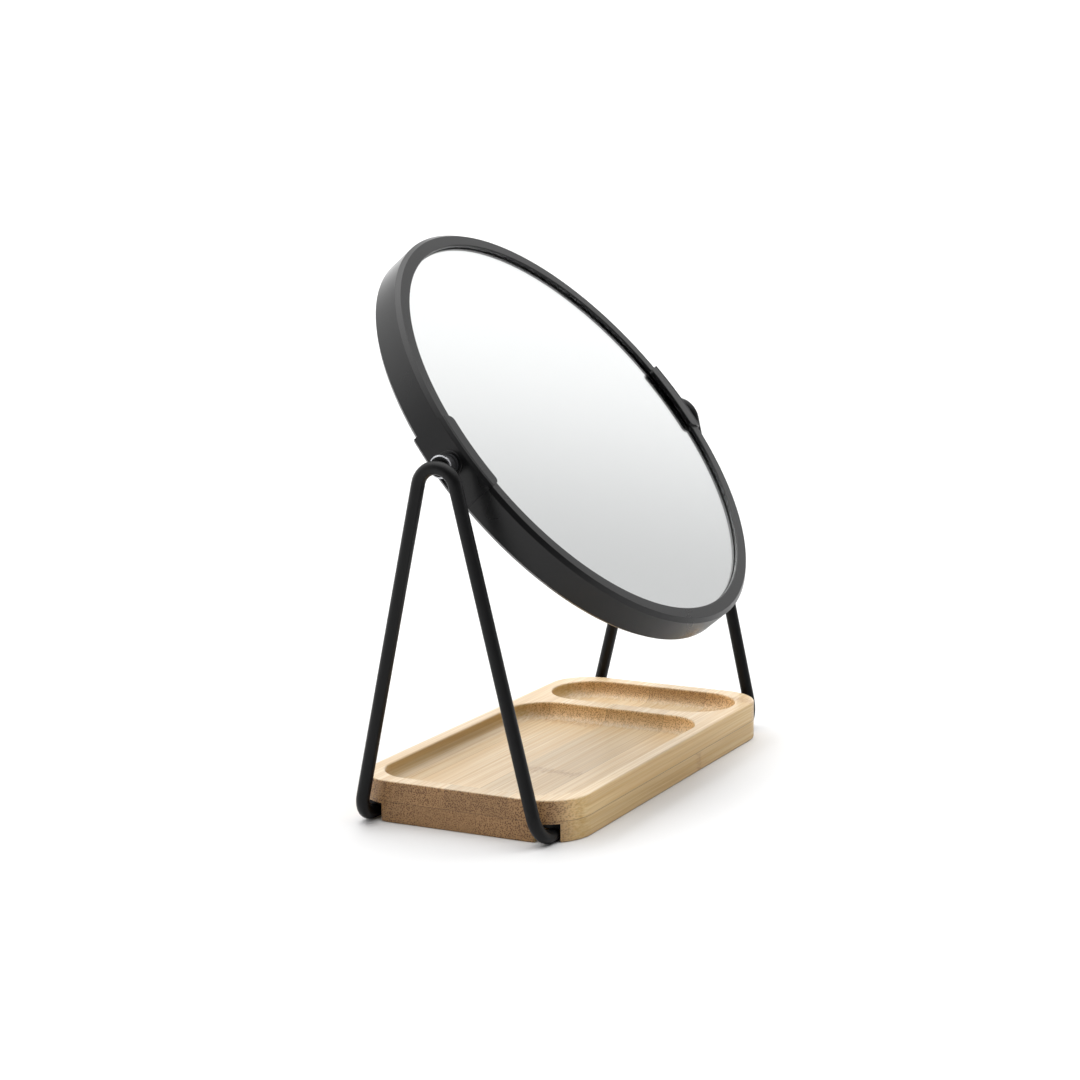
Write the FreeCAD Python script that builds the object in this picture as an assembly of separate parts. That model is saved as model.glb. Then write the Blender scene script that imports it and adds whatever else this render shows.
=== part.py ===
import FreeCAD, Part
import math
import os

# Countertop mirror: a round double-sided mirror that swivels between two wire A-frames,
# which stand at the ends of a wooden tray.
# Millimetres. +X runs along the swivel axis, +Y towards the back, +Z up.
# The origin is on the surface that the tray stands on, below the middle of the mirror.
# "side" is -1 for the left A-frame and +1 for the right one.

Vector = FreeCAD.Vector
X_AXIS = Vector(1, 0, 0)
Z_AXIS = Vector(0, 0, 1)

# Tray: two boards glued one on the other
TRAY_LENGTH = 184.0
TRAY_WIDTH = 91.5
BOARD_THICKNESS = 7.8
TRAY_CORNER = 17.5
EDGE_ROUND = 0.8
TRAY_TOP = 2 * BOARD_THICKNESS

# Hollows routed into the top board
END_RIM = 7.0
SIDE_RIM = 5.75
RIB_WIDTH = 8.0
TROUGH_WIDTH = 34.5
TROUGH_CORNER = 17.0
RECESS_CORNER = 15.0
HOLLOW_DEPTH = 6.5
HOLLOW_FLOOR_ROUND = 5.0

# Wire A-frames
ROD_RADIUS = 2.5
APEX_X = 102.3
APEX_HEIGHT = 134.3
APEX_BEND = 7.6
LEG_ANGLE = 13.15
OUTWARD_LEAN = 1.7
FOOT_HEIGHT = 2.5
FOOT_BEND = 9.5
ROD_END_X = 85.5

# Grooves, screw plates and screws under the tray
GROOVE_Y = 35.7
GROOVE_WIDTH = 8.6
GROOVE_DEPTH = 6.9
PLATE_WIDTH = 8.0
PLATE_OUTER_X = 87.2
SCREW_X = 82.8
SCREW_RADIUS = 1.5
SCREW_HEAD_RADIUS = 2.6
SCREW_HEAD_HEIGHT = 1.8
SCREW_LENGTH = 7.0
SCREW_TIP_RADIUS = 0.15
PILOT_RADIUS = 1.2
PLATE_WELD_DEPTH = 0.2

# Mirror hoop: a sheet-metal channel in two halves, open towards its middle
HOOP_RADIUS = 92.0
HOOP_HALF_WIDTH = 6.3
HOOP_SHEET = 0.6
HOOP_CORNER = 1.1
HOOP_LIP_RADIUS = 86.6
HOOP_LIP_ROLL = 0.8
MIRROR_TILT = 39.7

# Saddle brackets that clip over the hoop at the swivel axis
BRACKET_SHEET = 0.8
BRACKET_HALF_ANGLE = 9.7
BRACKET_LIP_RADIUS = 85.9
BRACKET_LIP_ROLL = 1.0
BRACKET_CORNER_ROUND = 1.5
PAD_RADIUS = 5.0
PAD_HEIGHT = 0.4

# Panes and the foam ring between them
GLASS_RADIUS = 88.4
GLASS_THICKNESS = 1.2
GLASS_EDGE_CHAMFER = 0.3
CONCAVE_RADIUS = 1000.0
FOAM_INNER_RADIUS = 82.0
FOAM_OUTER_RADIUS = 87.5
FOAM_GAP = 0.02

# Swivel joint: distances from the middle of the mirror along the swivel axis
STUD_RADIUS = 2.0
RUNNING_CLEARANCE = 0.05
WASHER_CLEARANCE = 0.1
STUD_TIP_X = 88.2
NUT_INNER_X = 88.8
NUT_THICKNESS = 2.0
NUT_ACROSS_FLATS = 7.0
BUSH_BARREL_RADIUS = 2.9
BUSH_BARREL_X = 91.1
BUSH_FLANGE_RADIUS = 3.9
BUSH_FLANGE_THICKNESS = 1.0
THRUST_GAP = 0.1
SLEEVE_RADIUS = 3.3
WASHER_INNER_X = 98.9
WASHER_OUTER_X = 99.7
WASHER_RADIUS = 4.2
STUD_FLANGE_RADIUS = 3.6
STUD_WELD_DEPTH = 0.5

# Derived places
HOOP_LIP_END = HOOP_HALF_WIDTH - HOOP_LIP_ROLL
BRACKET_RADIUS = HOOP_RADIUS + BRACKET_SHEET
BUSH_FLANGE_X = BRACKET_RADIUS + PAD_HEIGHT
SLEEVE_INNER_X = BUSH_FLANGE_X + BUSH_FLANGE_THICKNESS + THRUST_GAP
STUD_OUTER_X = APEX_X - ROD_RADIUS + STUD_WELD_DEPTH
VERTEX_HEIGHT = APEX_HEIGHT + APEX_BEND / math.sin(math.radians(LEG_ANGLE)) - APEX_BEND
FOOT_Y = (VERTEX_HEIGHT - FOOT_HEIGHT) * math.tan(math.radians(LEG_ANGLE))
LEAN_SLOPE = math.tan(math.radians(OUTWARD_LEAN))
VERTEX_X = APEX_X + (VERTEX_HEIGHT - APEX_HEIGHT) * LEAN_SLOPE
FOOT_X = APEX_X - (APEX_HEIGHT - FOOT_HEIGHT) * LEAN_SLOPE
PLATE_BOTTOM = FOOT_HEIGHT + ROD_RADIUS - PLATE_WELD_DEPTH
PLATE_THICKNESS = GROOVE_DEPTH - PLATE_BOTTOM
HOLLOW_FLOOR = TRAY_TOP - HOLLOW_DEPTH
CUT_MARGIN = 2.0


def rounded_path(points, radii):
    """A wire through the points, with each inner point replaced by a tangent arc."""
    edges = []
    start = points[0]
    for before, corner, after, radius in zip(points, points[1:], points[2:], radii):
        arriving = (corner - before).normalize()
        leaving = (after - corner).normalize()
        turn = arriving.getAngle(leaving)
        reach = radius * math.tan(turn / 2)
        inward = (leaving - arriving).normalize()
        arc_start = corner - arriving * reach
        arc_middle = corner + inward * (radius / math.cos(turn / 2) - radius)
        arc_end = corner + leaving * reach
        edges.append(Part.LineSegment(start, arc_start).toShape())
        edges.append(Part.Arc(arc_start, arc_middle, arc_end).toShape())
        start = arc_end
    edges.append(Part.LineSegment(start, points[-1]).toShape())
    return Part.Wire(edges)


def rounded_slab(x_low, x_high, half_width, corner, z_low, z_high):
    """An upright plate with a rounded rectangular outline."""
    slab = Part.makeBox(x_high - x_low, 2 * half_width, z_high - z_low, Vector(x_low, -half_width, z_low))
    upright = [edge for edge in slab.Edges if edge.BoundBox.ZLength > (z_high - z_low) / 2]
    return slab.makeFillet(corner, upright)


def edges_at_height(shape, height):
    """The edges of a shape that lie flat at one height."""
    tolerance = 1e-4
    return [
        edge
        for edge in shape.Edges
        if abs(edge.BoundBox.ZMin - height) < tolerance and abs(edge.BoundBox.ZMax - height) < tolerance
    ]


def rod_along_x(side, radius, x_from, x_to):
    """A round bar on the swivel axis between two distances from the middle."""
    base = Vector(side * x_from, 0, APEX_HEIGHT)
    return Part.makeCylinder(radius, x_to - x_from, base, X_AXIS * side)


def hollow(x_low, x_high, corner):
    """The space of one routed hollow, with a rounded floor edge."""
    half_width = TRAY_WIDTH / 2 - SIDE_RIM
    space = rounded_slab(x_low, x_high, half_width, corner, HOLLOW_FLOOR, TRAY_TOP + CUT_MARGIN)
    return space.makeFillet(HOLLOW_FLOOR_ROUND, edges_at_height(space, HOLLOW_FLOOR))


def groove_places():
    """The side and the Y position of each of the four grooves, with their plates and screws."""
    return [(side, y) for side in (-1, 1) for y in (-GROOVE_Y, GROOVE_Y)]


def pilot_holes():
    """The holes that the four foot screws cut their threads in."""
    holes = []
    for side, y in groove_places():
        base = Vector(side * SCREW_X, y, PLATE_BOTTOM)
        holes.append(Part.makeCylinder(PILOT_RADIUS, SCREW_LENGTH, base, Z_AXIS))
    return Part.makeCompound(holes)


def tray_top_board():
    """The upper board, with the wide recess and the round-ended trough."""
    half_length = TRAY_LENGTH / 2
    board = rounded_slab(-half_length, half_length, TRAY_WIDTH / 2, TRAY_CORNER, BOARD_THICKNESS, TRAY_TOP)
    trough_high = half_length - END_RIM
    trough_low = trough_high - TROUGH_WIDTH
    recess_low = END_RIM - half_length
    recess_high = trough_low - RIB_WIDTH
    board = board.cut(hollow(recess_low, recess_high, RECESS_CORNER))
    board = board.cut(hollow(trough_low, trough_high, TROUGH_CORNER))
    board = board.makeFillet(EDGE_ROUND, edges_at_height(board, TRAY_TOP))
    return board.cut(pilot_holes())


def groove(side, y):
    """The groove that one rod foot lies in, open at the tray's end and rounded round the screw."""
    outer = TRAY_LENGTH / 2 + CUT_MARGIN
    height = GROOVE_DEPTH + CUT_MARGIN
    corner = Vector(min(side * SCREW_X, side * outer), y - GROOVE_WIDTH / 2, -CUT_MARGIN)
    channel = Part.makeBox(outer - SCREW_X, GROOVE_WIDTH, height, corner)
    end = Part.makeCylinder(GROOVE_WIDTH / 2, height, Vector(side * SCREW_X, y, -CUT_MARGIN), Z_AXIS)
    return channel.fuse(end)


def tray_bottom_board():
    """The lower board, with a groove for each rod foot."""
    half_length = TRAY_LENGTH / 2
    board = rounded_slab(-half_length, half_length, TRAY_WIDTH / 2, TRAY_CORNER, 0, BOARD_THICKNESS)
    board = board.makeFillet(EDGE_ROUND, edges_at_height(board, 0))
    for side, y in groove_places():
        board = board.cut(groove(side, y))
    return board.cut(pilot_holes())


def foot_plate(side, y):
    """The small screw plate welded on top of one rod end."""
    half_width = PLATE_WIDTH / 2
    x_low = min(side * SCREW_X, side * PLATE_OUTER_X)
    corner = Vector(x_low, y - half_width, PLATE_BOTTOM)
    plate = Part.makeBox(PLATE_OUTER_X - SCREW_X, PLATE_WIDTH, PLATE_THICKNESS, corner)
    centre = Vector(side * SCREW_X, y, PLATE_BOTTOM)
    plate = plate.fuse(Part.makeCylinder(half_width, PLATE_THICKNESS, centre, Z_AXIS)).removeSplitter()
    hole = Part.makeCylinder(SCREW_RADIUS + WASHER_CLEARANCE, PLATE_THICKNESS, centre, Z_AXIS)
    return plate.cut(hole)


def foot_screw(side, y):
    """A wood screw driven upwards, with a domed head that has a cross recess."""
    tip_length = 2 * SCREW_RADIUS
    seat = Vector(side * SCREW_X, y, PLATE_BOTTOM)
    head_low = seat - Z_AXIS * SCREW_HEAD_HEIGHT
    head = Part.makeCylinder(SCREW_HEAD_RADIUS, SCREW_HEAD_HEIGHT, head_low, Z_AXIS)
    head = head.makeFillet(SCREW_HEAD_HEIGHT / 2, edges_at_height(head, head_low.z))
    slot_length = 1.2 * SCREW_HEAD_RADIUS
    slot_width = slot_length / 5
    slot_depth = SCREW_HEAD_HEIGHT / 2
    for length, width in ((slot_length, slot_width), (slot_width, slot_length)):
        corner = head_low - Vector(length / 2, width / 2, 0)
        head = head.cut(Part.makeBox(length, width, slot_depth, corner))
    shank = Part.makeCylinder(SCREW_RADIUS, SCREW_LENGTH - tip_length, seat, Z_AXIS)
    tip_base = seat + Z_AXIS * (SCREW_LENGTH - tip_length)
    tip = Part.makeCone(SCREW_RADIUS, SCREW_TIP_RADIUS, tip_length, tip_base, Z_AXIS)
    return head.fuse([shank, tip]).removeSplitter()


def stand_rod(side):
    """One A-frame: a wire bent at the apex and turned in under the tray at both feet."""
    points = [
        Vector(side * ROD_END_X, -FOOT_Y, FOOT_HEIGHT),
        Vector(side * FOOT_X, -FOOT_Y, FOOT_HEIGHT),
        Vector(side * VERTEX_X, 0, VERTEX_HEIGHT),
        Vector(side * FOOT_X, FOOT_Y, FOOT_HEIGHT),
        Vector(side * ROD_END_X, FOOT_Y, FOOT_HEIGHT),
    ]
    path = rounded_path(points, [FOOT_BEND, APEX_BEND, FOOT_BEND])
    section = Part.Wire(Part.makeCircle(ROD_RADIUS, points[0], X_AXIS))
    rod = path.makePipeShell([section], True, True)
    for y in (-GROOVE_Y, GROOVE_Y):
        rod = rod.cut(foot_plate(side, y))
    return rod.cut(rod_along_x(side, STUD_FLANGE_RADIUS, WASHER_OUTER_X, STUD_OUTER_X))


def pivot_stud(side):
    """The stud that the mirror turns on, with the flange that is welded to the rod."""
    tip_chamfer = 0.4
    shaft = rod_along_x(side, STUD_RADIUS, STUD_TIP_X, WASHER_OUTER_X)
    tip = [edge for edge in shaft.Edges if abs(abs(edge.BoundBox.Center.x) - STUD_TIP_X) < tip_chamfer]
    shaft = shaft.makeChamfer(tip_chamfer, tip)
    return shaft.fuse(rod_along_x(side, STUD_FLANGE_RADIUS, WASHER_OUTER_X, STUD_OUTER_X)).removeSplitter()


def ring_along_x(side, outer_radius, inner_radius, x_from, x_to):
    """A plain ring on the swivel axis."""
    return rod_along_x(side, outer_radius, x_from, x_to).cut(rod_along_x(side, inner_radius, x_from, x_to))


def zinc_washer(side):
    """The plated washer next to the stud's flange."""
    return ring_along_x(side, WASHER_RADIUS, STUD_RADIUS + WASHER_CLEARANCE, WASHER_INNER_X, WASHER_OUTER_X)


def spacer_sleeve(side):
    """The sleeve that holds the mirror away from the rod."""
    return ring_along_x(side, SLEEVE_RADIUS, STUD_RADIUS + WASHER_CLEARANCE, SLEEVE_INNER_X, WASHER_INNER_X)


def lock_nut(side):
    """The thin hexagon nut on the stud, inside the hoop."""
    corner_radius = NUT_ACROSS_FLATS / math.sqrt(3)
    corners = []
    for step in range(7):
        angle = math.radians(60 * step)
        y = corner_radius * math.cos(angle)
        z = APEX_HEIGHT + corner_radius * math.sin(angle)
        corners.append(Vector(side * NUT_INNER_X, y, z))
    blank = Part.Face(Part.makePolygon(corners)).extrude(X_AXIS * side * NUT_THICKNESS)
    return blank.cut(rod_along_x(side, STUD_RADIUS, NUT_INNER_X, NUT_INNER_X + NUT_THICKNESS))


def pivot_bush(side):
    """The flanged bush in the bracket, which turns on the stud."""
    flange_end = BUSH_FLANGE_X + BUSH_FLANGE_THICKNESS
    flange = rod_along_x(side, BUSH_FLANGE_RADIUS, BUSH_FLANGE_X, flange_end)
    barrel = rod_along_x(side, BUSH_BARREL_RADIUS, BUSH_BARREL_X, BUSH_FLANGE_X)
    bore = rod_along_x(side, STUD_RADIUS + RUNNING_CLEARANCE, BUSH_BARREL_X, flange_end)
    return flange.fuse(barrel).removeSplitter().cut(bore)


def mirror_to_stand(shape):
    """Move a piece from the mirror's own frame, with its face along +Z, to its rest place."""
    placed = shape.copy()
    placed.rotate(Vector(0, 0, 0), X_AXIS, 90 - MIRROR_TILT)
    placed.translate(Vector(0, 0, APEX_HEIGHT))
    return placed


def quarter(centre, radius, angle_from, angle_to):
    """An arc in the XZ plane between two angles in degrees."""
    points = []
    for angle in (angle_from, (angle_from + angle_to) / 2, angle_to):
        turn = math.radians(angle)
        points.append(centre + Vector(radius * math.cos(turn), 0, radius * math.sin(turn)))
    return Part.Arc(*points).toShape()


def channel_section(radius, half_width, sheet, corner, lip_radius, roll):
    """The section of a channel with two lips that roll in at their ends."""
    wall = radius - corner
    lip = lip_radius + roll
    arcs = [
        quarter(Vector(lip, 0, half_width - roll), roll, 180, 90),
        quarter(Vector(wall, 0, half_width - corner), corner, 90, 0),
        quarter(Vector(wall, 0, corner - half_width), corner, 0, -90),
        quarter(Vector(lip, 0, roll - half_width), roll, -90, -180),
        quarter(Vector(lip, 0, roll - half_width), roll - sheet, -180, -90),
        quarter(Vector(wall, 0, corner - half_width), corner - sheet, -90, 0),
        quarter(Vector(wall, 0, half_width - corner), corner - sheet, 0, 90),
        quarter(Vector(lip, 0, half_width - roll), roll - sheet, 90, 180),
    ]
    edges = []
    for arc, following in zip(arcs, arcs[1:] + arcs[:1]):
        edges.append(arc)
        edges.append(Part.LineSegment(arc.lastVertex().Point, following.firstVertex().Point).toShape())
    return Part.Face(Part.Wire(edges))


def bush_hole():
    """The hole for the bushes through both ends of the hoop, in the mirror's frame."""
    return Part.makeCylinder(BUSH_BARREL_RADIUS, 4 * HOOP_RADIUS, Vector(-2 * HOOP_RADIUS, 0, 0), X_AXIS)


def ring_half(start_angle):
    """Half of the hoop, from one bracket round to the other."""
    section = channel_section(
        HOOP_RADIUS, HOOP_HALF_WIDTH, HOOP_SHEET, HOOP_CORNER, HOOP_LIP_RADIUS, HOOP_LIP_ROLL
    )
    section.rotate(Vector(0, 0, 0), Z_AXIS, start_angle)
    half = section.revolve(Vector(0, 0, 0), Z_AXIS, 180)
    return mirror_to_stand(half.cut(bush_hole()))


def bracket_outline():
    """A block as long as a bracket, with its two corners over the glass rounded."""
    height = 4 * HOOP_HALF_WIDTH
    base = Vector(0, 0, -height / 2)
    block = Part.makeCylinder(2 * HOOP_RADIUS, height, base, Z_AXIS, 2 * BRACKET_HALF_ANGLE)
    block = block.cut(Part.makeCylinder(BRACKET_LIP_RADIUS, height, base, Z_AXIS))
    block.rotate(Vector(0, 0, 0), Z_AXIS, -BRACKET_HALF_ANGLE)
    corners = []
    for edge in block.Edges:
        centre = edge.BoundBox.Center
        if edge.BoundBox.ZLength > height / 2 and math.hypot(centre.x, centre.y) < HOOP_RADIUS:
            corners.append(edge)
    return block.makeFillet(BRACKET_CORNER_ROUND, corners)


def ring_bracket(side):
    """The saddle that wraps the hoop at the swivel axis, with a pressed pad for the bush."""
    section = channel_section(
        BRACKET_RADIUS,
        HOOP_HALF_WIDTH + BRACKET_SHEET,
        BRACKET_SHEET,
        HOOP_CORNER + BRACKET_SHEET,
        BRACKET_LIP_RADIUS,
        BRACKET_LIP_ROLL,
    )
    section.rotate(Vector(0, 0, 0), Z_AXIS, -BRACKET_HALF_ANGLE)
    saddle = section.revolve(Vector(0, 0, 0), Z_AXIS, 2 * BRACKET_HALF_ANGLE).common(bracket_outline())
    pad_base = Vector(BRACKET_RADIUS - BRACKET_SHEET, 0, 0)
    pad = Part.makeCylinder(PAD_RADIUS, BRACKET_SHEET + PAD_HEIGHT, pad_base, X_AXIS)
    inside = Part.makeCylinder(HOOP_RADIUS, 2 * HOOP_HALF_WIDTH, Vector(0, 0, -HOOP_HALF_WIDTH), Z_AXIS)
    saddle = saddle.fuse(pad.cut(inside)).removeSplitter().cut(bush_hole())
    if side < 0:
        saddle.rotate(Vector(0, 0, 0), Z_AXIS, 180)
    return mirror_to_stand(saddle)


def front_mirror_glass():
    """The flat front pane."""
    base = Vector(0, 0, HOOP_LIP_END - GLASS_THICKNESS)
    pane = Part.makeCylinder(GLASS_RADIUS, GLASS_THICKNESS, base, Z_AXIS)
    rims = edges_at_height(pane, HOOP_LIP_END) + edges_at_height(pane, base.z)
    return mirror_to_stand(pane.makeChamfer(GLASS_EDGE_CHAMFER, rims))


def concave_height(radius):
    """How far the concave pane stands above its own middle at a radius."""
    return CONCAVE_RADIUS - math.sqrt(CONCAVE_RADIUS ** 2 - radius ** 2)


def concave_surface(rim_height):
    """The middle, halfway and rim points of a surface of the concave pane."""
    rise = concave_height(GLASS_RADIUS)
    radii = (0, GLASS_RADIUS / 2, GLASS_RADIUS)
    return [Vector(radius, 0, rim_height + rise - concave_height(radius)) for radius in radii]


def rear_magnifying_glass():
    """The concave rear pane, which hollows towards the front pane."""
    outer = concave_surface(-HOOP_LIP_END)
    inner = concave_surface(GLASS_THICKNESS - HOOP_LIP_END)
    edges = [
        Part.Arc(*outer).toShape(),
        Part.LineSegment(outer[2], inner[2]).toShape(),
        Part.Arc(*reversed(inner)).toShape(),
        Part.LineSegment(inner[0], outer[0]).toShape(),
    ]
    pane = Part.Face(Part.Wire(edges)).revolve(Vector(0, 0, 0), Z_AXIS, 360)
    return mirror_to_stand(pane)


def foam_ring():
    """The foam ring that presses the two panes against the hoop's lips."""
    rise = concave_height(GLASS_RADIUS)
    rear = GLASS_THICKNESS - HOOP_LIP_END + rise + FOAM_GAP
    top = HOOP_LIP_END - GLASS_THICKNESS
    corners = [
        Vector(FOAM_INNER_RADIUS, 0, rear - concave_height(FOAM_INNER_RADIUS)),
        Vector(FOAM_OUTER_RADIUS, 0, rear - concave_height(FOAM_OUTER_RADIUS)),
        Vector(FOAM_OUTER_RADIUS, 0, top),
        Vector(FOAM_INNER_RADIUS, 0, top),
    ]
    section = Part.Face(Part.makePolygon(corners + corners[:1]))
    return mirror_to_stand(section.revolve(Vector(0, 0, 0), Z_AXIS, 360))


def at_each_groove(piece):
    """One piece in each of the four grooves, as separate solids."""
    return Part.makeCompound([piece(side, y) for side, y in groove_places()])


def build():
    """Every sub-part by name."""
    shapes = {
        "tray_top_board": tray_top_board(),
        "tray_bottom_board": tray_bottom_board(),
        "foot_screw_plates": at_each_groove(foot_plate),
        "foot_screws": at_each_groove(foot_screw),
        "ring_upper_half": ring_half(0),
        "ring_lower_half": ring_half(180),
        "front_mirror_glass": front_mirror_glass(),
        "rear_magnifying_glass": rear_magnifying_glass(),
        "foam_spacer_ring": foam_ring(),
    }
    for prefix, side in (("left", -1), ("right", 1)):
        shapes[prefix + "_stand_rod"] = stand_rod(side)
        shapes[prefix + "_pivot_stud"] = pivot_stud(side)
        shapes[prefix + "_zinc_washer"] = zinc_washer(side)
        shapes[prefix + "_spacer_sleeve"] = spacer_sleeve(side)
        shapes[prefix + "_lock_nut"] = lock_nut(side)
        shapes[prefix + "_pivot_bush"] = pivot_bush(side)
        shapes[prefix + "_ring_bracket"] = ring_bracket(side)
    return shapes


os.makedirs("parts", exist_ok=True)
for node, shape in build().items():
    shape.exportStep("parts/" + node + ".step")
    volumes = [round(solid.Volume, 1) for solid in shape.Solids]
    print(node, "valid" if shape.isValid() else "INVALID", volumes)
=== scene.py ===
import math

import bmesh
import bpy
from mathutils import Matrix, Vector


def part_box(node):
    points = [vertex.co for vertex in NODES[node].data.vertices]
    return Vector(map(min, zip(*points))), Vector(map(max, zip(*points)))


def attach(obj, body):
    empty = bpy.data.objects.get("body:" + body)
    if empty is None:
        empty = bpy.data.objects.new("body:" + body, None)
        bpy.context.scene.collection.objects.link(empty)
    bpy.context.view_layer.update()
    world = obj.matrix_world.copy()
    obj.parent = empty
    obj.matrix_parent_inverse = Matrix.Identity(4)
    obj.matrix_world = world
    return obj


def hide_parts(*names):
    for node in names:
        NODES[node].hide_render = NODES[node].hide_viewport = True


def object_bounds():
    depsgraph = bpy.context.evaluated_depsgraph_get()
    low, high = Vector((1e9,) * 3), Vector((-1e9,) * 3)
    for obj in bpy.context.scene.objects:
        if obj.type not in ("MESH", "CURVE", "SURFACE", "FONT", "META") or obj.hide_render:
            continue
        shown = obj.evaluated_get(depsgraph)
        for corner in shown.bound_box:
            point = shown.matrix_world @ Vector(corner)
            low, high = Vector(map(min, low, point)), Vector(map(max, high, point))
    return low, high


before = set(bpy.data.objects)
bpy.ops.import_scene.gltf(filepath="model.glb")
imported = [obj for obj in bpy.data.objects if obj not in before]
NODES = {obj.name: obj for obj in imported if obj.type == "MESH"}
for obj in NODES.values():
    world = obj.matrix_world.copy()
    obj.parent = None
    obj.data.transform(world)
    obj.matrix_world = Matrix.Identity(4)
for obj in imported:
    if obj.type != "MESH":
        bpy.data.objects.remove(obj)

# Countertop mirror: materials, silver layers, a finer hoop and brackets, camera, floor and light
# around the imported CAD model.
# Metres, in the row frame: +X along the swivel axis, +Y towards the back, +Z up.

CAD_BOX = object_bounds()
MM = 0.001


# ---------------------------------------------------------------- shader node helpers

class Shader:
    """A node tree with short calls that add nodes and link them."""

    def __init__(self, tree):
        self.tree = tree

    def add(self, kind, inputs=None, **settings):
        """A node with its settings, and its inputs set to values or linked to sockets."""
        node = self.tree.nodes.new(kind)
        for name, value in settings.items():
            setattr(node, name, value)
        for name, value in (inputs or {}).items():
            self.feed(node.inputs[name], value)
        return node

    def feed(self, socket, value):
        """Link a socket, or set it to a constant."""
        if isinstance(value, bpy.types.NodeSocket):
            self.tree.links.new(value, socket)
        else:
            socket.default_value = value

    def maths(self, operation, *values):
        """The result of one Math node."""
        return self.add("ShaderNodeMath", dict(enumerate(values)), operation=operation).outputs[0]

    def scaled(self, vector, factors):
        """A vector times three factors."""
        return self.add("ShaderNodeVectorMath", {0: vector, 1: factors}, operation="MULTIPLY").outputs[0]

    def dot(self, first, second):
        """How far two directions agree, from -1 to 1."""
        node = self.add("ShaderNodeVectorMath", {0: first, 1: second}, operation="DOT_PRODUCT")
        return node.outputs["Value"]

    def joined(self, x, y, z):
        """Three numbers as a vector."""
        return self.add("ShaderNodeCombineXYZ", {0: x, 1: y, 2: z}).outputs[0]

    def noise(self, vector, scale, detail=2.0, roughness=0.5):
        """Noise from 0 to 1."""
        inputs = {"Vector": vector, "Scale": scale, "Detail": detail, "Roughness": roughness}
        return self.add("ShaderNodeTexNoise", inputs).outputs[0]

    def smooth(self, value, low, high, to_low=0.0, to_high=1.0):
        """A smooth step of value between low and high."""
        inputs = {"Value": value, "From Min": low, "From Max": high, "To Min": to_low, "To Max": to_high}
        return self.add("ShaderNodeMapRange", inputs, interpolation_type="SMOOTHSTEP").outputs[0]

    def blend(self, share, first, second):
        """A colour between two colours."""
        node = self.add("ShaderNodeMix", data_type="RGBA")
        self.feed(node.inputs[0], share)
        self.feed(node.inputs[6], first)
        self.feed(node.inputs[7], second)
        return node.outputs[2]

    def mixed(self, share, first, second):
        """A number between two numbers."""
        node = self.add("ShaderNodeMix", data_type="FLOAT")
        self.feed(node.inputs[0], share)
        self.feed(node.inputs[2], first)
        self.feed(node.inputs[3], second)
        return node.outputs[0]

    def dimmed(self, colour, share):
        """A colour times a number."""
        node = self.add("ShaderNodeVectorMath", operation="SCALE")
        self.feed(node.inputs[0], colour)
        self.feed(node.inputs["Scale"], share)
        return node.outputs[0]


class Surface(Shader):
    """A material on the Principled shader."""

    def __init__(self, name, **constants):
        self.material = bpy.data.materials.new(name)
        self.material.use_nodes = True
        super().__init__(self.material.node_tree)
        self.principled = self.tree.nodes["Principled BSDF"]
        for socket, value in constants.items():
            self.principled.inputs[socket.replace("_", " ")].default_value = value
        coordinates = self.add("ShaderNodeTexCoord")
        self.place = coordinates.outputs["Object"]
        self.facing = coordinates.outputs["Normal"]

    def drive(self, socket, value):
        """Link one of the shader's inputs to a pattern."""
        self.tree.links.new(value, self.principled.inputs[socket])

    def bump(self, height, depth, strength=1.0):
        """Relief from a height from 0 to 1, with its depth in metres."""
        node = self.add("ShaderNodeBump", {"Strength": strength, "Distance": depth, "Height": height})
        self.drive("Normal", node.outputs[0])


# ---------------------------------------------------------------- materials

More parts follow.
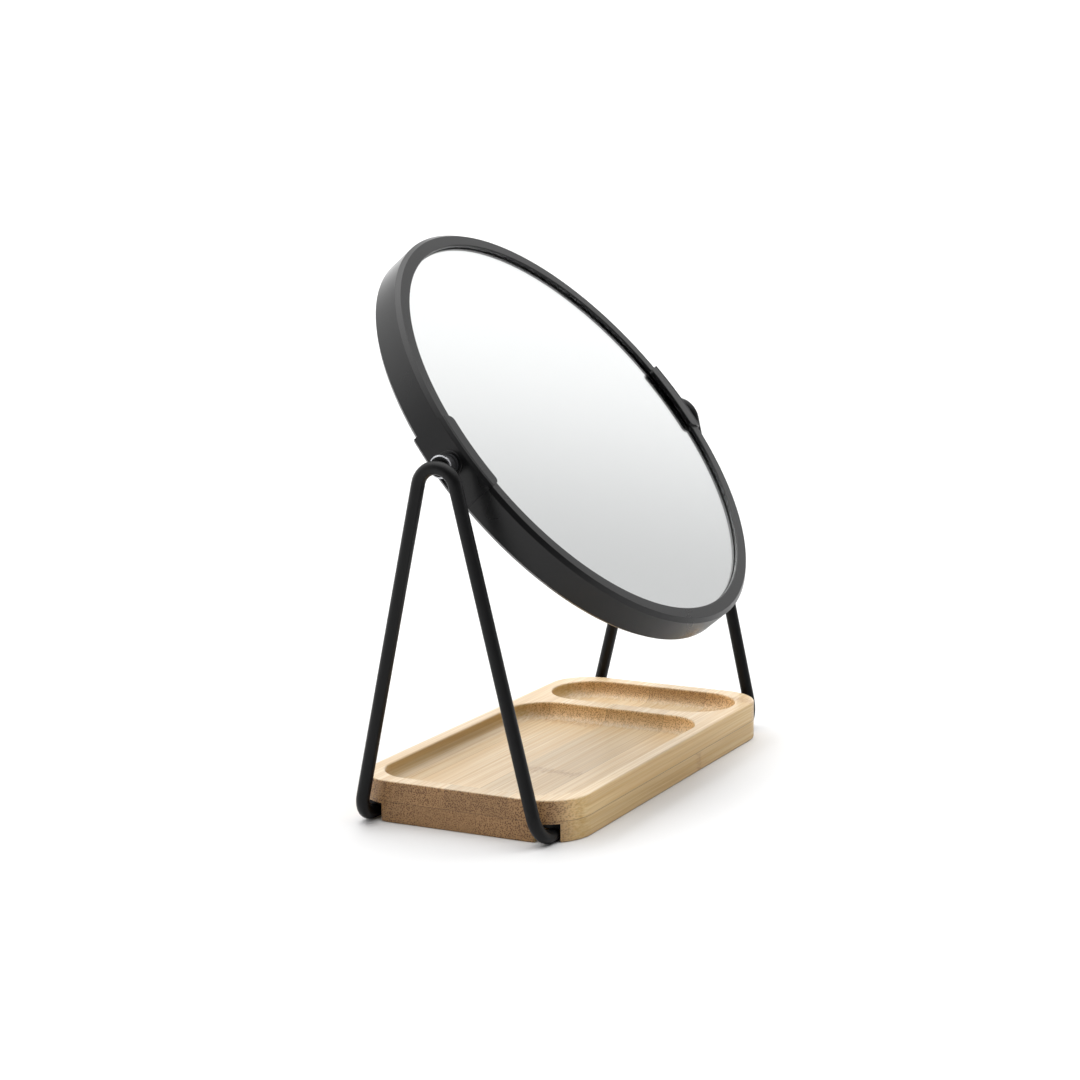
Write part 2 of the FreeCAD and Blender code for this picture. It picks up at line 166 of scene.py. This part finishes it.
class Bamboo(Surface):
    """Bamboo strips side by side along Y, with their fibres along X, measured in millimetres."""

    strip_width = 25.5
    glue_line_height = 7.8

    def __init__(self, name, joint_y, seed):
        super().__init__(name)
        self.shape = self.scaled(self.place, (1000.0, 1000.0, 1000.0))
        self.axes = self.add("ShaderNodeSeparateXYZ", {0: self.shape}).outputs
        across = self.maths("DIVIDE", self.maths("SUBTRACT", self.axes[1], joint_y), self.strip_width)
        self.strip = self.maths("FLOOR", across)
        self.within = self.maths("FRACT", across)
        own = self.add("ShaderNodeTexWhiteNoise", {"Vector": self.joined(self.strip, seed, 0.5)})
        self.shades = self.add("ShaderNodeSeparateColor", {0: own.outputs["Color"]}).outputs
        self.fibres = self.fibre_place(own.outputs["Value"])
        self.streaks = self.noise(self.scaled(self.fibres, (1.0, 1.3, 1.3)), 1.0, 5.0, 0.62)

        facing = self.add("ShaderNodeSeparateXYZ", {0: self.facing}).outputs
        self.end_grain = self.smooth(self.maths("ABSOLUTE", facing[0]), 0.28, 0.88)
        # Painted shade: a mask of the faces towards ±Y, which long_grain darkens.
        self.painted_side_shade_mask = self.smooth(self.maths("ABSOLUTE", facing[1]), 0.50, 0.95)

    def fibre_place(self, offset):
        """A place that changes slowly along the wandering fibres, moved along on each strip."""
        wander = self.noise(self.scaled(self.shape, (0.012, 0.03, 0.03)), 1.0, 1.0)
        shift = self.maths("MULTIPLY", offset, 90.0)
        x = self.maths("MULTIPLY", self.maths("ADD", self.axes[0], shift), 0.010)
        y = self.maths("MULTIPLY_ADD", wander, 1.2, self.axes[1])
        z = self.maths("MULTIPLY_ADD", wander, 0.8, self.axes[2])
        return self.joined(x, y, z)

    def bundles(self, size, low, high):
        """Dark fibre bundles: dots on the ends of a strip and thin lines along it."""
        place = self.scaled(self.fibres, (0.9, 1 / size, 1 / size))
        cells = self.add("ShaderNodeTexVoronoi", {"Vector": place, "Scale": 1.0, "Randomness": 1.0})
        return self.smooth(cells.outputs["Distance"], high, low)

    def dots(self):
        """Coarse or fine bundles, by strip, in fainter and stronger patches."""
        patches = self.noise(self.scaled(self.fibres, (0.8, 0.35, 0.35)), 1.0, 2.0)
        finer = self.smooth(self.shades[0], 0.3, 0.7)
        dots = self.mixed(finer, self.bundles(0.62, 0.25, 0.62), self.bundles(0.50, 0.25, 0.65))
        return self.maths("MULTIPLY", dots, self.smooth(patches, 0.30, 0.60, 0.65, 1.0))

    def long_grain(self, dots):
        """The colour of the faces along the fibres, with painted shade that darkens and yellows the sides
        facing Y.
        """
        pale = (0.790, 0.640, 0.435, 1)
        tan = (0.660, 0.455, 0.235, 1)
        brown = (0.290, 0.155, 0.055, 1)
        side_shade_tint = (0.840, 0.760, 0.520)
        broad = self.noise(self.scaled(self.fibres, (0.8, 0.14, 0.14)), 1.0, 2.0)
        colour = self.blend(self.smooth(self.streaks, 0.34, 0.68), pale, tan)
        colour = self.blend(self.smooth(broad, 0.40, 0.70, 0.0, 0.50), colour, tan)
        colour = self.blend(self.maths("MULTIPLY", dots, 0.16), colour, brown)
        # Painted shade: the faces towards ±Y are darkened and yellowed.
        return self.blend(self.painted_side_shade_mask, colour, self.scaled(colour, side_shade_tint))

    def end_colour_with_painted_shading(self, dots):
        """The colour of the cut ends of the strips, with painted light on the cut ends inside the hollows
        and painted shade on the tray's outer ends.
        """
        # Painted light: the cut ends in the hollows are brighter. Painted shade: the outer ends, past 80 mm
        # along X, are darker.
        inner = self.blend(dots, (0.820, 0.540, 0.250, 1), (0.430, 0.225, 0.080, 1))
        outer = self.blend(dots, (0.370, 0.200, 0.078, 1), (0.110, 0.050, 0.015, 1))
        return self.blend(self.smooth(self.maths("ABSOLUTE", self.axes[0]), 80.0, 91.0), inner, outer)

    def growth_rings(self, nodes):
        """The share of brown in the ragged growth rings at (number of the strip, X) places."""
        ragged = self.noise(self.scaled(self.shape, (0.15, 1.3, 1.3)), 1.0, 2.0)
        along = self.maths("MULTIPLY_ADD", ragged, 16.0, self.maths("SUBTRACT", self.axes[0], 8.0))
        ring = 0.0
        for number, middle in nodes:
            on_strip = self.maths("COMPARE", self.strip, float(number), 0.5)
            away = self.maths("ABSOLUTE", self.maths("SUBTRACT", along, float(middle)))
            near = self.maths("MULTIPLY", on_strip, self.smooth(away, 4.5, 0.5))
            ring = self.maths("MAXIMUM", near, ring)
        ticks = self.noise(self.scaled(self.shape, (0.5, 2.4, 2.4)), 1.0, 3.0, 0.6)
        strength = self.maths("MULTIPLY_ADD", self.smooth(ticks, 0.40, 0.58), 0.42, 0.14)
        return self.maths("MULTIPLY", ring, strength)

    def glue_lines(self):
        """The joints between the strips, and the glue line between the two boards."""
        height = self.maths("ABSOLUTE", self.maths("SUBTRACT", self.axes[2], self.glue_line_height))
        seam = self.smooth(self.maths("PINGPONG", self.within, 0.5), 0.006, 0.001)
        layer = self.smooth(height, 0.16, 0.05)
        strips = self.maths("MULTIPLY", seam, 0.40)
        return self.maths("MAXIMUM", strips, self.maths("MULTIPLY", layer, 0.70))


def bamboo(name, joint_y, seed, nodes):
    """Lacquered bamboo, with a joint between strips at joint_y and growth rings at the nodes."""
    ring_brown = (0.400, 0.205, 0.075, 1)
    glue = (0.110, 0.060, 0.025, 1)
    surface = Bamboo(name, joint_y, seed)
    dots = surface.dots()
    lines = surface.glue_lines()
    colour = surface.blend(surface.growth_rings(nodes), surface.long_grain(dots), ring_brown)
    colour = surface.blend(surface.end_grain, colour, surface.end_colour_with_painted_shading(dots))
    colour = surface.dimmed(colour, surface.maths("MULTIPLY_ADD", surface.shades[2], 0.14, 0.93))
    surface.drive("Base Color", surface.blend(lines, colour, glue))

    lacquer = surface.smooth(surface.streaks, 0.2, 0.8, 0.34, 0.42)
    surface.drive("Roughness", surface.mixed(surface.end_grain, lacquer, 0.48))
    relief = surface.mixed(surface.end_grain, surface.streaks, surface.maths("SUBTRACT", 1.0, dots))
    surface.bump(surface.maths("SUBTRACT", surface.maths("MULTIPLY", relief, 0.6), lines), 0.05 * MM)
    return surface.material


def powder_coat(name, colour, gloss, roughness, grain_size, depth):
    """Black coating on metal, with the fine orange peel of a sprayed coat."""
    surface = Surface(name, Base_Color=colour, Specular_IOR_Level=gloss)
    peel = surface.noise(surface.place, 1 / grain_size, 3.0)
    cloud = surface.noise(surface.place, 40.0, 2.0)
    surface.drive("Roughness", surface.smooth(cloud, 0.3, 0.7, roughness - 0.03, roughness + 0.03))
    surface.bump(peel, depth)
    return surface.material


def nylon():
    """Moulded black nylon."""
    surface = Surface("moulded_nylon", Base_Color=(0.018, 0.018, 0.020, 1))
    surface.drive("Roughness", surface.smooth(surface.noise(surface.place, 900.0), 0.3, 0.7, 0.48, 0.60))
    surface.bump(surface.noise(surface.place, 2500.0), 0.02 * MM)
    return surface.material


def zinc():
    """Bright zinc plate with a faint bloom."""
    surface = Surface("zinc_plate", Metallic=1.0)
    bloom = surface.noise(surface.place, 700.0, 4.0)
    surface.drive("Base Color", surface.blend(bloom, (0.66, 0.66, 0.68, 1), (0.52, 0.53, 0.56, 1)))
    surface.drive("Roughness", surface.smooth(bloom, 0.3, 0.7, 0.22, 0.36))
    return surface.material


def clear_glass():
    """Float glass, very slightly green."""
    surface = Surface(
        "float_glass", Base_Color=(0.985, 0.995, 0.990, 1), Transmission_Weight=1.0, Roughness=0.0, IOR=1.52
    )
    return surface.material


def silver():
    """The silver layer on the back of a pane."""
    surface = Surface("mirror_silver", Metallic=1.0, Roughness=0.0)
    tarnish = surface.noise(surface.place, 8.0, 2.0)
    surface.drive("Base Color", surface.blend(tarnish, (0.955, 0.960, 0.962, 1), (0.945, 0.952, 0.955, 1)))
    return surface.material


def foam():
    """Grey closed-cell foam."""
    surface = Surface("grey_foam", Roughness=0.95)
    cells = surface.add("ShaderNodeTexVoronoi", {"Vector": surface.place, "Scale": 1400.0}).outputs[0]
    surface.drive("Base Color", surface.blend(cells, (0.09, 0.09, 0.09, 1), (0.15, 0.15, 0.15, 1)))
    surface.bump(cells, 0.1 * MM)
    return surface.material


def paint(node, material):
    """Give a CAD node its material."""
    slots = NODES[node].material_slots
    if not slots:
        NODES[node].data.materials.append(material)
    for place in slots:
        place.material = material


# ---------------------------------------------------------------- silver layers

def silver_layer(name, pane, outward, material):
    """A thin closed coat on the inner face of a pane, sunk slightly into the glass."""
    sink = 0.05 * MM
    thickness = 0.15 * MM
    merge_distance = 0.001 * MM
    facing_share = 0.7
    coat = bmesh.new()
    coat.from_mesh(NODES[pane].data)
    coat.normal_update()
    others = [face for face in coat.faces if face.normal.dot(outward) > -facing_share]
    bmesh.ops.delete(coat, geom=others, context="FACES")
    bmesh.ops.remove_doubles(coat, verts=coat.verts, dist=merge_distance)
    bmesh.ops.translate(coat, verts=coat.verts, vec=outward * sink)
    grown = bmesh.ops.extrude_face_region(coat, geom=coat.faces[:])
    moved = [item for item in grown["geom"] if isinstance(item, bmesh.types.BMVert)]
    bmesh.ops.translate(coat, verts=moved, vec=-outward * thickness)
    bmesh.ops.recalc_face_normals(coat, faces=coat.faces)
    for face in coat.faces:
        face.smooth = face.smooth and abs(face.normal.dot(outward)) > facing_share
    mesh = bpy.data.meshes.new(name)
    coat.to_mesh(mesh)
    coat.free()
    mesh.materials.append(material)
    piece = bpy.data.objects.new(name, mesh)
    bpy.context.scene.collection.objects.link(piece)
    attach(piece, "mirror")


def flat_face_normal(node):
    """The direction of a flat pane's face that looks towards the front."""
    widest = max(NODES[node].data.polygons, key=lambda polygon: polygon.area)
    normal = widest.normal.copy()
    return normal if normal.y < 0 else -normal


# ---------------------------------------------------------------- hoop and brackets

# Millimetres and degrees. Radii and half widths are measured from the middle of the mirror.
HOOP_SHEET = 0.6
HOOP_CHAMFER = 1.5
HOOP_LIP_RADIUS = 85.8
HOOP_LIP_ROLL = 1.4
HOOP_HALF_WIDTH = 6.9
HOOP_RADIUS = 92.0
HOOP_END_GAP = 1.9
BRACKET_SHEET = 0.8
BRACKET_CHAMFER = 1.2
BRACKET_LIP_RADIUS = 85.1
BRACKET_LIP_ROLL = 1.6
BRACKET_HALF_ANGLE = 9.7
BRACKET_CORNER = 2.0
BRACKET_CREASE = 0.25
PAD_RADIUS = 5.0
PAD_HEIGHT = 0.4
BUSH_RADIUS = 2.9


def mirror_place():
    """The mirror's own frame, with its front face along Z, at its rest place."""
    low_upper, high_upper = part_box("ring_upper_half")
    low_lower, high_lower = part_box("ring_lower_half")
    middle_y = (min(low_upper[1], low_lower[1]) + max(high_upper[1], high_lower[1])) / 2
    middle_z = (min(low_upper[2], low_lower[2]) + max(high_upper[2], high_lower[2])) / 2
    front = flat_face_normal("front_mirror_glass")
    across = Vector((1, 0, 0))
    turn = Matrix((across, front.cross(across), front)).transposed()
    return Matrix.Translation(Vector((0, middle_y, middle_z))) @ turn.to_4x4()


def rounded(corners):
    """A closed outline through corners of (place, radius), each one rounded."""
    steps = 5
    outline = []
    for index, (place, radius) in enumerate(corners):
        corner = Vector(place)
        before = (Vector(corners[index - 1][0]) - corner).normalized()
        after = (Vector(corners[(index + 1) % len(corners)][0]) - corner).normalized()
        half = before.angle(after) / 2
        centre = corner + (before + after).normalized() * (radius / math.sin(half))
        start = corner + before * (radius / math.tan(half)) - centre
        end = corner + after * (radius / math.tan(half)) - centre
        outline += [centre + start.slerp(end, step / steps) * radius for step in range(steps + 1)]
    return outline


def channel(radius, half_width, sheet, chamfer, lip, roll, crease=0.0):
    """The section of a channel with chamfered corners and rolled lips, as radius and height."""
    edge = 0.2
    inset = chamfer - sheet * (2 - math.sqrt(2))
    outer = [
        ((lip + sheet, half_width - roll), 0.1),
        ((lip, half_width - roll), 0.1),
        ((lip, half_width), 0.5),
    ]
    if crease:
        foot = radius - chamfer - 3 * crease
        notch = ((-1, 0.0), (0, crease), (1, 0.0))
        outer += [((foot + step * crease, half_width - depth), 0.05) for step, depth in notch]
    outer += [
        ((radius - chamfer, half_width), edge),
        ((radius, half_width - chamfer), edge),
    ]
    inner = [
        ((lip + sheet, half_width - sheet), 0.05),
        ((radius - sheet - inset, half_width - sheet), edge),
        ((radius - sheet, half_width - sheet - inset), edge),
    ]
    below_outer = [((r, -z), rounding) for (r, z), rounding in reversed(outer)]
    below_inner = [((r, -z), rounding) for (r, z), rounding in inner]
    return rounded(outer + below_outer + below_inner + list(reversed(inner)))


def lathe(name, sections, place, closed=False):
    """A piece through sections of (angle in degrees, outline), turned about Z."""
    mesh = bpy.data.meshes.new(name)
    count = len(sections[0][1])
    points = []
    for angle, outline in sections:
        turn = math.radians(angle)
        points += [(r * math.cos(turn) * MM, r * math.sin(turn) * MM, z * MM) for r, z in outline]
    last = len(sections) if closed else len(sections) - 1
    faces = []
    for ring in range(last):
        here = ring * count
        there = (ring + 1) % len(sections) * count
        for step in range(count):
            onward = (step + 1) % count
            faces.append((here + step, here + onward, there + onward, there + step))
    sides = len(faces)
    if not closed:
        faces.append(tuple(range(count)))
        faces.append(tuple(reversed(range(last * count, (last + 1) * count))))
    mesh.from_pydata(points, [], faces)
    mesh.transform(place)
    shape = bmesh.new()
    shape.from_mesh(mesh)
    bmesh.ops.recalc_face_normals(shape, faces=shape.faces)
    for index, face in enumerate(shape.faces):
        face.smooth = index < sides
    shape.to_mesh(mesh)
    shape.free()
    piece = bpy.data.objects.new(name, mesh)
    bpy.context.scene.collection.objects.link(piece)
    return piece


def finished(piece, material):
    """Clean shading, a material, and the mirror's body for a piece of the hoop."""
    shading = piece.modifiers.new("weighted normals", "WEIGHTED_NORMAL")
    shading.keep_sharp = True
    piece.data.materials.append(material)
    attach(piece, "mirror")


def hoop_half(half, start, place, material):
    """One half of the sheet-metal hoop, which ends under the brackets next to the bushes."""
    outline = channel(
        HOOP_RADIUS, HOOP_HALF_WIDTH, HOOP_SHEET, HOOP_CHAMFER, HOOP_LIP_RADIUS, HOOP_LIP_ROLL)
    steps = 180
    reach = 180 - 2 * HOOP_END_GAP
    angles = [start + HOOP_END_GAP + reach * step / steps for step in range(steps + 1)]
    piece = lathe("hoop_" + half + "_half", [(angle, outline) for angle in angles], place)
    finished(piece, material)
    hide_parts("ring_" + half + "_half")


def drilled(piece, place, radius):
    """Cut a round hole along the swivel axis."""
    bpy.ops.mesh.primitive_cylinder_add(vertices=64, radius=radius * MM, depth=1.0)
    cutter = bpy.context.object
    cutter.matrix_world = place @ Matrix.Rotation(math.pi / 2, 4, "Y")
    bpy.context.view_layer.update()
    hole = piece.modifiers.new("hole", "BOOLEAN")
    hole.operation = "DIFFERENCE"
    hole.solver = "EXACT"
    hole.object = cutter
    shape = piece.evaluated_get(bpy.context.evaluated_depsgraph_get())
    cut = bpy.data.meshes.new_from_object(shape)
    piece.modifiers.clear()
    piece.data = cut
    bpy.data.objects.remove(cutter)


def bracket_sections():
    """The bracket's sections along the hoop, whose lips draw back at both ends to round its corners."""
    middle_steps = 12
    corner_steps = 6
    slim = math.degrees(BRACKET_CORNER / BRACKET_LIP_RADIUS)
    straight = BRACKET_HALF_ANGLE - slim
    middle = [straight * (2 * step / middle_steps - 1) for step in range(1, middle_steps)]
    quarter = [math.pi / 2 * step / corner_steps for step in range(corner_steps + 1)]
    corner = [straight + slim * math.sin(turn) for turn in quarter]
    sections = []
    for offset in [-turn for turn in reversed(corner)] + middle + corner:
        share = max(0.0, (abs(offset) - straight) / slim)
        lip = BRACKET_LIP_RADIUS + BRACKET_CORNER * (1 - math.sqrt(max(0.0, 1 - share * share)))
        outline = channel(
            HOOP_RADIUS + BRACKET_SHEET, HOOP_HALF_WIDTH + BRACKET_SHEET, BRACKET_SHEET,
            BRACKET_CHAMFER, lip, BRACKET_LIP_ROLL, BRACKET_CREASE)
        sections.append((offset, outline))
    return sections


def bracket(side, facing, place, material):
    """A saddle that wraps the hoop, with a raised pad round the hole for the bush."""
    turned = place if facing > 0 else place @ Matrix.Rotation(math.pi, 4, "Z")
    piece = lathe(side + "_bracket", bracket_sections(), turned)
    drilled(piece, place, BUSH_RADIUS)
    soft = piece.modifiers.new("edges", "BEVEL")
    soft.limit_method = "ANGLE"
    soft.angle_limit = math.radians(50)
    soft.width = 0.15 * MM
    soft.segments = 2
    finished(piece, material)
    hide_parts(side + "_ring_bracket")

    base = HOOP_RADIUS + BRACKET_SHEET / 2
    top = HOOP_RADIUS + BRACKET_SHEET + PAD_HEIGHT
    outline = rounded([
        ((BUSH_RADIUS, base), 0.05),
        ((BUSH_RADIUS, top), 0.1),
        ((PAD_RADIUS, top), 0.25),
        ((PAD_RADIUS, base), 0.05),
    ])
    outward = turned @ Matrix.Rotation(math.pi / 2, 4, "Y")
    pad = lathe(side + "_bracket_pad", [(5.0 * step, outline) for step in range(72)], outward, closed=True)
    finished(pad, material)


# ---------------------------------------------------------------- scene

def make_camera():
    """The camera, from its place, its direction and its roll."""
    place = Vector((-0.85007, -0.42683, 0.26015))
    yaw, pitch, roll = 1.0939, -0.1745, -0.0086
    ahead = Vector((math.sin(yaw) * math.cos(pitch), math.cos(yaw) * math.cos(pitch), math.sin(pitch)))
    level = Vector((math.cos(yaw), -math.sin(yaw), 0))
    upward = level.cross(ahead)
    right = math.cos(roll) * level + math.sin(roll) * upward
    top = math.cos(roll) * upward - math.sin(roll) * level
    data = bpy.data.cameras.new("camera")
    data.sensor_width = 36.0
    data.lens = 83.17
    data.clip_start = 0.01
    data.clip_end = 50.0
    camera = bpy.data.objects.new("camera", data)
    turn = Matrix((right, top, -ahead)).transposed()
    camera.matrix_world = Matrix.Translation(place) @ turn.to_4x4()
    bpy.context.scene.collection.objects.link(camera)
    bpy.context.scene.camera = camera
    return ahead


def make_floor():
    """A plain pale floor."""
    reach = 6.0
    mesh = bpy.data.meshes.new("floor")
    corners = [(-reach, -reach, 0), (reach, -reach, 0), (reach, reach, 0), (-reach, reach, 0)]
    mesh.from_pydata(corners, [], [(0, 1, 2, 3)])
    surface = Surface("pale_floor", Roughness=0.7)
    surface.drive("Base Color", surface.blend(
        surface.noise(surface.place, 3.0), (0.76, 0.76, 0.76, 1), (0.78, 0.78, 0.78, 1)))
    mesh.materials.append(surface.material)
    floor = bpy.data.objects.new("floor", mesh)
    floor.location.z = CAD_BOX[0].z - 0.02 * MM
    bpy.context.scene.collection.objects.link(floor)


def make_light(ahead):
    """Soft studio light: a bright backdrop and ceiling, a grey right side and a dark camera side."""
    world = bpy.data.worlds.new("studio")
    world.use_nodes = True
    bpy.context.scene.world = world
    sky = Shader(world.node_tree)
    direction = sky.add("ShaderNodeTexCoord").outputs["Generated"]
    away = Vector((ahead.x, ahead.y, 0)).normalized()
    backdrop = sky.dot(direction, away)
    axes = sky.add("ShaderNodeSeparateXYZ", {0: direction}).outputs
    side_wall = sky.smooth(axes[1], -0.27, -0.16, 0.66, 1.10)
    camera_side = sky.smooth(backdrop, -0.55, 0.20, 0.12, 1.0)
    walls = sky.maths("MULTIPLY", side_wall, camera_side)
    ceiling = sky.smooth(axes[2], 0.52, 0.97, 0.0, 2.4)
    ceiling = sky.maths("MULTIPLY", ceiling, sky.smooth(backdrop, -0.80, -0.15, 0.15, 1.0))
    left = Vector((-away.y, away.x, 0))
    softbox = sky.smooth(sky.dot(direction, left), 0.55, 0.95, 0.0, 0.6)
    low = sky.smooth(axes[2], 0.32, 0.06, 0.0, 1.4)
    glow = sky.maths("MULTIPLY", sky.smooth(backdrop, 0.50, 0.95), low)
    light = sky.maths("ADD", sky.maths("ADD", walls, ceiling), sky.maths("ADD", softbox, glow))
    node = world.node_tree.nodes["Background"]
    sky.feed(node.inputs["Strength"], light)
    node.inputs["Color"].default_value = (1, 1, 1, 1)


bpy.context.scene.view_settings.view_transform = "Standard"

rod_coat = powder_coat("rod_powder_coat", (0.003, 0.003, 0.0034, 1), 0.20, 0.40, 0.5 * MM, 0.03 * MM)
hoop_paint = powder_coat("hoop_paint", (0.003, 0.003, 0.0034, 1), 0.34, 0.30, 0.4 * MM, 0.01 * MM)
nylon_material = nylon()
zinc_material = zinc()
glass_material = clear_glass()
silver_material = silver()

paint("tray_top_board", bamboo("bamboo_upper", 4.5, 3.0, [(-1, -33), (0, 37), (-2, 79)]))
paint("tray_bottom_board", bamboo("bamboo_lower", -8.0, 11.0, [(-2, 22)]))
paint("foot_screw_plates", rod_coat)
paint("foot_screws", zinc_material)
for side in ("left", "right"):
    paint(side + "_stand_rod", rod_coat)
    paint(side + "_pivot_stud", rod_coat)
    paint(side + "_zinc_washer", zinc_material)
    paint(side + "_spacer_sleeve", nylon_material)
    paint(side + "_lock_nut", zinc_material)
    paint(side + "_pivot_bush", nylon_material)
paint("front_mirror_glass", glass_material)
paint("rear_magnifying_glass", glass_material)
paint("foam_spacer_ring", foam())

NODES["rear_magnifying_glass"].modifiers.new("weighted normals", "WEIGHTED_NORMAL")
front = flat_face_normal("front_mirror_glass")
silver_layer("front_silver_layer", "front_mirror_glass", front, silver_material)
silver_layer("rear_silver_layer", "rear_magnifying_glass", -front, silver_material)

place = mirror_place()
hoop_half("upper", 0, place, hoop_paint)
hoop_half("lower", 180, place, hoop_paint)
bracket("left", -1, place, hoop_paint)
bracket("right", 1, place, hoop_paint)

ahead = make_camera()
make_floor()
make_light(ahead)
